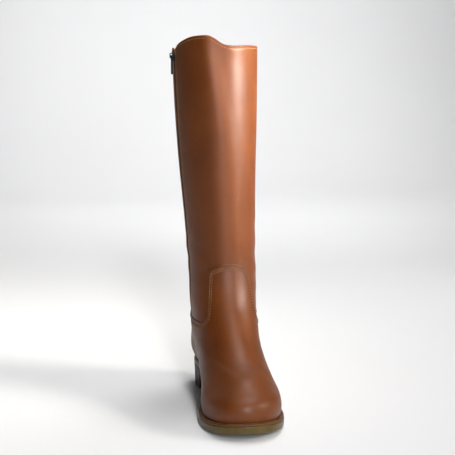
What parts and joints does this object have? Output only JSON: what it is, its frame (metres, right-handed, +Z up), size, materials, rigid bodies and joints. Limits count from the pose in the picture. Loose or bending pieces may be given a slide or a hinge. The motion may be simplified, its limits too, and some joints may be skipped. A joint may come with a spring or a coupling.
{
  "type": "knee-high boot",
  "caption": "Left knee-high riding boot in smooth tan leather, with tongue-shaped vamp, welted rubber sole, low block heel and full inner side zip.",
  "frame": {"origin": "on the floor below the middle of the heel, on the heel's resting face", "axes": "+Z up the leg, -Y towards the toe, +X to the outer side of this left foot"},
  "size_m": [0.1125, 0.2842, 0.4401],
  "materials": {
    "tan_leather": "smooth semi-gloss tan",
    "lining_leather": "matt light tan",
    "welt_leather": "stitched, satin",
    "sole_rubber": "satin khaki",
    "lift_rubber": "matt dark",
    "zip_fabric": "woven olive tape",
    "zip_teeth": "olive coil",
    "gunmetal": "dark gunmetal"
  },
  "bodies": {
    "boot": {"outsole": "sole_rubber", "heel_block": "sole_rubber", "heel_top_lift": "lift_rubber", "welt": "welt_leather", "insole": "lining_leather", "upper": "tan_leather", "shaft": "tan_leather", "zip_tape": "zip_fabric", "zip_teeth": "zip_teeth", "zip_slider": "gunmetal"},
    "pull": {"zip_pull": "gunmetal"}
  },
  "joints": [
    {"name": "pull_swing", "type": "hinge", "parent": "boot", "child": "pull", "pos_m": [-0.06097, -0.02718, 0.41772], "axis": [-0.1106, 0.9939, 0], "range_deg": [0, 160]}
  ]
}
